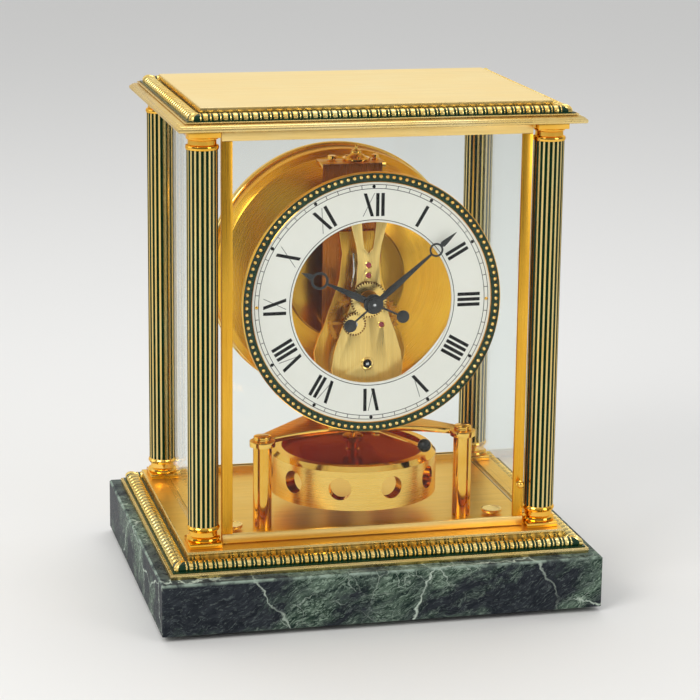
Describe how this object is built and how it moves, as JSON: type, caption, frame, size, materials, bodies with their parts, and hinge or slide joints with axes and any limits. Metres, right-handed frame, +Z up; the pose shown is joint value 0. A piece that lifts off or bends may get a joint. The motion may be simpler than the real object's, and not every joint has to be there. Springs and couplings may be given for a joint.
{
  "type": "atmospheric clock",
  "caption": "Glazed gilt mantel clock on a marble slab, with fluted columns, a skeleton dial, a hinged door, levelling feet, a bellows housing and a torsion pendulum.",
  "frame": {"origin": "middle of the clock's footprint, on the surface it stands on", "axes": "+X to the clock's right as seen from the front, +Y to its back, +Z up; the dial faces -Y"},
  "size_m": [0.24, 0.194, 0.2749],
  "materials": {
    "dark_marble": "polished, dark green with pale veins",
    "black_feet": "matt",
    "gilt_brass": "polished and lacquered gilt",
    "brushed_gilt": "brushed and lacquered gilt",
    "green_enamel": "gloss enamel with gilt ribs and beads",
    "column_enamel": "gloss enamel in the flutes, gilt fillets",
    "clear_glass": "clear, bevelled",
    "turned_gilt": "turned and lacquered gilt",
    "pale_gilt": "fine brushed pale gilt",
    "ruby": "polished red jewel",
    "dial_white": "satin white",
    "black_hands": "satin black",
    "steel": "polished steel",
    "bellows_brass": "drawn thin brass",
    "black_knob": "gloss black"
  },
  "bodies": {
    "case": {"marble_base": "dark_marble", "rear_foot": "black_feet", "base_frame": "gilt_brass", "base_enamel_moulding": "green_enamel", "base_plate": "brushed_gilt", "column_bases": "gilt_brass", "column_capitals": "gilt_brass", "column_shaft_front_left": "column_enamel", "column_shaft_rear_left": "column_enamel", "column_shaft_front_right": "column_enamel", "column_shaft_rear_right": "column_enamel", "cornice_slab": "gilt_brass", "cornice_enamel_moulding": "green_enamel", "top_plate": "brushed_gilt", "left_glass": "clear_glass", "right_glass": "clear_glass", "rear_glass": "clear_glass", "rear_rails": "gilt_brass", "door_hinge_pins": "gilt_brass", "platform_pillars": "gilt_brass", "pillar_screws": "steel", "support_platform": "pale_gilt", "rear_movement_plate": "pale_gilt", "tall_back_plate": "pale_gilt", "front_bridge": "pale_gilt", "bridge_jewels": "ruby", "movement_pillars": "pale_gilt", "dial_ring": "dial_white", "dial_bezel": "gilt_brass", "bellows_housing": "turned_gilt", "housing_rear_cover": "turned_gilt", "bellows": "bellows_brass", "housing_supports": "turned_gilt", "suspension_bracket": "pale_gilt", "suspension_head": "steel", "suspension_screws": "steel", "suspension_wire": "steel"},
    "door": {"door_frame": "gilt_brass", "door_glass": "clear_glass", "door_knob": "gilt_brass"},
    "foot_left": {"levelling_screw_left": "turned_gilt"},
    "foot_right": {"levelling_screw_right": "turned_gilt"},
    "pendulum": {"pendulum_ring": "turned_gilt", "pendulum_staff": "steel"},
    "locking_lever": {"lock_lever": "steel", "lever_ball": "black_knob"},
    "minute_motion": {"minute_hand": "black_hands", "centre_arbor": "steel", "centre_wheel": "pale_gilt"},
    "hour_motion": {"hour_hand": "black_hands", "hour_wheel": "pale_gilt"},
    "minute_motion_wheel": {"minute_arbor": "pale_gilt", "minute_wheel": "pale_gilt"},
    "intermediate": {"intermediate_arbor": "steel", "intermediate_wheel": "pale_gilt"},
    "barrel": {"spring_barrel": "pale_gilt"},
    "winding_arbor": {"barrel_arbor": "steel"},
    "plunger": {"bellows_plunger": "steel"},
    "escape": {"escape_wheel": "pale_gilt"},
    "pallet": {"pallet_lever": "steel"}
  },
  "joints": [
    {"name": "door_hinge", "type": "hinge", "parent": "case", "child": "door", "pos_m": [-0.0808, -0.066, 0.15325], "axis": [0, 0, -1], "range_deg": [0, 95]},
    {"name": "left_foot_screw", "type": "slide", "parent": "case", "child": "foot_left", "axis": [0, 0, 1], "range_m": [-0.001, 0.001]},
    {"name": "right_foot_screw", "type": "slide", "parent": "case", "child": "foot_right", "axis": [0, 0, 1], "range_m": [-0.001, 0.001]},
    {"name": "pendulum_twist", "type": "hinge", "parent": "case", "child": "pendulum", "pos_m": [0, -0.0165, 0.072], "axis": [0, 0, 1], "range_deg": [-175, 175]},
    {"name": "lock_swing", "type": "hinge", "parent": "case", "child": "locking_lever", "pos_m": [0.013, -0.018, 0.0858], "axis": [0, 0, 1], "range_deg": [0, 20]},
    {"name": "minute_hand_turn", "type": "hinge", "parent": "case", "child": "minute_motion", "pos_m": [0, -0.045, 0.1673], "axis": [0, 1, 0], "continuous": true},
    {"name": "hour_hand_turn", "type": "hinge", "parent": "case", "child": "hour_motion", "pos_m": [0, -0.054, 0.1673], "axis": [0, 1, 0], "continuous": true},
    {"name": "motion_wheel_turn", "type": "hinge", "parent": "case", "child": "minute_motion_wheel", "pos_m": [-0.0076, -0.04, 0.1542], "axis": [0, 1, 0], "continuous": true},
    {"name": "intermediate_turn", "type": "hinge", "parent": "case", "child": "intermediate", "pos_m": [0.0075, -0.037, 0.1532], "axis": [0, 1, 0], "continuous": true},
    {"name": "barrel_turn", "type": "hinge", "parent": "case", "child": "barrel", "pos_m": [0, -0.038, 0.1319], "axis": [0, 1, 0], "continuous": true},
    {"name": "escape_turn", "type": "hinge", "parent": "case", "child": "escape", "pos_m": [0, -0.038, 0.1803], "axis": [0, 1, 0], "continuous": true},
    {"name": "pallet_rock", "type": "hinge", "parent": "case", "child": "pallet", "pos_m": [0, -0.032, 0.1859], "axis": [0, 1, 0], "range_deg": [-2.5, 2.5]},
    {"name": "plunger_slide", "type": "slide", "parent": "case", "child": "plunger", "axis": [0, -1, 0], "range_m": [0, 0.003]},
    {"name": "winding_turn", "type": "hinge", "parent": "case", "child": "winding_arbor", "pos_m": [0, -0.038, 0.1319], "axis": [0, 1, 0], "range_deg": [0, 26]}
  ],
  "couplings": [
    {"joint": "hour_hand_turn", "follows": "minute_hand_turn", "ratio": 0.083333},
    {"joint": "motion_wheel_turn", "follows": "minute_hand_turn", "ratio": -0.13333},
    {"joint": "intermediate_turn", "follows": "minute_hand_turn", "ratio": -0.25},
    {"joint": "barrel_turn", "follows": "minute_hand_turn", "ratio": 0.05},
    {"joint": "escape_turn", "follows": "minute_hand_turn", "ratio": -4},
    {"joint": "winding_turn", "follows": "plunger_slide", "rad_per_m": 150}
  ]
}
